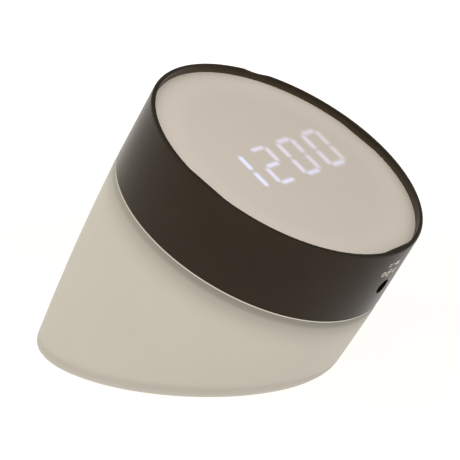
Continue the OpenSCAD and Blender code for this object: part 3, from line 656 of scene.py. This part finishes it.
def hoop(u, v, r_in, r_out, start=0, stop=360, n=28):
    """Flat ring or part of one; an inner radius of nought gives a disc."""
    quads = []
    angles = [math.radians(start + (stop - start) * i / n) for i in range(n + 1)]
    for a, b in zip(angles, angles[1:]):
        outer = [(u + r_out * math.cos(t), v + r_out * math.sin(t)) for t in (a, b)]
        inner = [(u + r_in * math.cos(t), v + r_in * math.sin(t)) for t in (b, a)]
        quads.append(outer + (inner if r_in else [(u, v)]))
    return quads


def print_mesh(name, shapes, place, proud=0.03, sunk=0.02):
    """Thin print of the shapes, laid on a surface by place(u, v, lift). All is in mm."""
    bm = bmesh.new()
    for quads in shapes:
        for quad in quads:
            bm.faces.new([bm.verts.new((u, v, proud)) for u, v in quad])
    bmesh.ops.remove_doubles(bm, verts=bm.verts, dist=0.001)
    for v in bmesh.ops.extrude_face_region(bm, geom=bm.faces[:])["geom"]:
        if isinstance(v, bmesh.types.BMVert):
            v.co.z = -sunk
    for v in bm.verts:
        v.co = place(*v.co)
    return to_mesh(bm, name)


def jack_marks():
    """Generic direct-current mark and polarity drawing above the jack hole.

    Positions are in mm round the ring from the jack, and up from the rim's plane.
    """
    def place(u, v, lift):
        out = around(math.degrees(JACK_ANGLE) + math.degrees(u * MM / RING_R))
        return ORIGIN + out * (RING_R + lift * MM) + EZ * v * MM

    current = [bar(-4.0, -4.3, -2.4, -4.0), bar(-4.0, -5.0, -3.6, -4.7, 1),
               bar(-3.4, -5.0, -3.0, -4.7, 1), bar(-2.8, -5.0, -2.4, -4.7, 1)]
    plug = [bar(-1.6, -4.55, -0.4, -4.25), bar(-0.4, -5.0, 0.7, -3.8, 3),
            bar(0.7, -4.15, 1.6, -3.95), bar(0.7, -4.85, 1.6, -4.65)]
    minus = [hoop(-4.3, -7.3, 0.6, 0.85), bar(-4.65, -7.42, -3.95, -7.18, 2)]
    socket = [hoop(-1.7, -7.3, 0, 0.45), hoop(-1.7, -7.3, 0.95, 1.25, 40, 320),
              bar(-3.45, -7.42, -2.95, -7.18), bar(-1.25, -7.42, 0.3, -7.18)]
    plus = [hoop(1.15, -7.3, 0.6, 0.85), bar(0.8, -7.42, 1.5, -7.18, 2),
            bar(1.03, -7.18, 1.27, -6.95, 1), bar(1.03, -7.65, 1.27, -7.42, 1)]
    mesh = print_mesh("jack_marks", current + plug + minus + socket + plus, place)
    piece(mesh, INK)


SIGN_ARM, SIGN_HALF, DOT_R = 0.85, 0.17, 0.5    # mm, strokes of the signs on the keys
KEY_PRINT = (0.02, 0.03)                        # mm proud of the cap and sunk in it
CAP_CROWN = 0.05 * MM                           # depth of a key's outermost points


def key_marks():
    """A small sign on each key: minus, dot and plus."""
    arm, half = SIGN_ARM, SIGN_HALF
    signs = {"key_minus": [bar(-arm, -half, arm, half, 2)],
             "key_set": [hoop(0, 0, 0, DOT_R)],
             "key_plus": [bar(-arm, -half, arm, half, 1), bar(-half, half, half, arm, 1),
                          bar(-half, -arm, half, -half, 1)]}
    for j in frame["joints"]:
        name = j["child"]
        if name not in signs:
            continue
        out = -Vector(j["axis"]).normalized()
        pts = [v.co for v in nodes[name].data.vertices]
        reach = max(p.dot(out) for p in pts)
        cap = [p for p in pts if p.dot(out) > reach - CAP_CROWN]
        middle = sum(cap, Vector()) / len(cap)
        middle += out * (reach - middle.dot(out))
        across = EZ.cross(out)

        def place(u, v, lift, middle=middle, across=across, out=out):
            return middle + (across * u + EZ * v + out * lift) * MM

        mesh = print_mesh(name + "_mark", signs[name], place, *KEY_PRINT)
        piece(mesh, INK, name)


# ---------------------------------------------------------------- stage


# Metres: half the floor's width, half the width over which the painted glow near the clock changes
# from right to left, and the distances at which it starts and ends to turn into the far one.
FLOOR_HALF = 6.0
FLOOR_SIDE = 0.08
FLOOR_NEAR, FLOOR_FAR = 0.14, 0.4
# painted light in the floor's glow, with painted shade dimming it on the right next to the clock
GLOW_RIGHT, GLOW_LEFT = (0.88, 0.86, 0.85, 1), (1.04, 0.97, 0.93, 1)
GLOW_FAR = (1.18, 1.11, 1.04, 1)


def floor_finish():
    """Matt paper with painted light: it glows just above white, with painted shade making it a little less bright
    next to the clock and on its right.
    """
    f = Finish("floor_paper")
    left = f.span(f.along(f.at, Vector((-1, 0, 0))), -FLOOR_SIDE, FLOOR_SIDE)
    # painted shade: the glow is dimmer on the right, next to the clock
    near = f.ramp(left, [(0, GLOW_RIGHT), (1, GLOW_LEFT)])
    away = f.span(f.length(f.at), FLOOR_NEAR, FLOOR_FAR)
    f.put(Base_Color=f.ramp(f.noise(8), [(0.3, 0.14), (0.7, 0.16)]), Roughness=0.8,
          Specular_IOR_Level=0.1, Emission_Color=f.mix(away, near, GLOW_FAR),
          Emission_Strength=1.0)
    return f.m


def floor():
    """Level sheet on which the clock stands."""
    r = FLOOR_HALF
    mesh = bpy.data.meshes.new("floor")
    mesh.from_pydata([(-r, -r, 0), (r, -r, 0), (r, r, 0), (-r, r, 0)], [], [(0, 1, 2, 3)])
    mesh.materials.append(floor_finish())
    o = link_object("floor", mesh)


def area(name, at, to, size, power):
    """Round light at one place, turned towards another."""
    light = bpy.data.lights.new(name, "AREA")
    light.shape, light.size, light.energy = "DISK", size, power
    o = link_object(name, light)
    o.location = at
    o.rotation_euler = (Vector(to) - Vector(at)).to_track_quat("-Z", "Y").to_euler()


SKY_COLOUR, SKY_LEVEL = (1, 0.95, 0.87, 1), 1.15
FLAG_TOWARDS = Vector((0.8, 0.08, 0.57))
FLAG_SHARE = 0.25               # of the sky's level, in the middle of the flag
FLAG_EDGE = (0.62, 0.86)        # cosines of the angle from its middle at its soft edge


def studio():
    """White surroundings with one dark panel above the far side of the face."""
    world = bpy.data.worlds.new("studio")
    world.use_nodes = True
    t = world.node_tree
    at = t.nodes.new("ShaderNodeTexCoord")
    dot = t.nodes.new("ShaderNodeVectorMath")
    dot.operation = "DOT_PRODUCT"
    dot.inputs[1].default_value = FLAG_TOWARDS.normalized()
    t.links.new(at.outputs["Generated"], dot.inputs[0])
    level = t.nodes.new("ShaderNodeMapRange")
    level.interpolation_type = "SMOOTHSTEP"
    for k, v in (("From Min", FLAG_EDGE[0]), ("From Max", FLAG_EDGE[1]),
                 ("To Min", SKY_LEVEL), ("To Max", SKY_LEVEL * FLAG_SHARE)):
        level.inputs[k].default_value = v
    t.links.new(dot.outputs["Value"], level.inputs["Value"])
    back = t.nodes["Background"]
    back.inputs[0].default_value = SKY_COLOUR
    t.links.new(level.outputs["Result"], back.inputs[1])
    bpy.context.scene.world = world


# The photo's camera, from the fit of its outline: place counted from the middle of the
# rim's plane, direction of view, roll in degrees and focal length in mm.
CAMERA_AT = Vector((-0.4789448, -0.2955273, 0.1329335))
CAMERA_AHEAD = Vector((0.8070789, 0.5286305, -0.2630086))
CAMERA_ROLL = 1.2835
CAMERA_LENS, SENSOR_WIDTH = 171.974, 36.0


def camera():
    """Camera at the photo's angle."""
    data = bpy.data.cameras.new("camera")
    data.sensor_width, data.lens = SENSOR_WIDTH, CAMERA_LENS
    o = link_object("camera", data)
    level = CAMERA_AHEAD.to_track_quat("-Z", "Y").to_matrix().to_4x4()
    roll = Matrix.Rotation(math.radians(CAMERA_ROLL), 4, "Z")
    o.matrix_world = Matrix.Translation(ORIGIN + CAMERA_AT) @ level @ roll
    bpy.context.scene.camera = o


dress()
face_panel()
jack_sleeve()
jack_marks()
key_marks()
floor()
studio()
area("key", at=(-1.1, -0.1, 1.0), to=(0, 0, 0.04), size=1.2, power=1.1)
camera()
bpy.context.scene.view_settings.view_transform = "Standard"
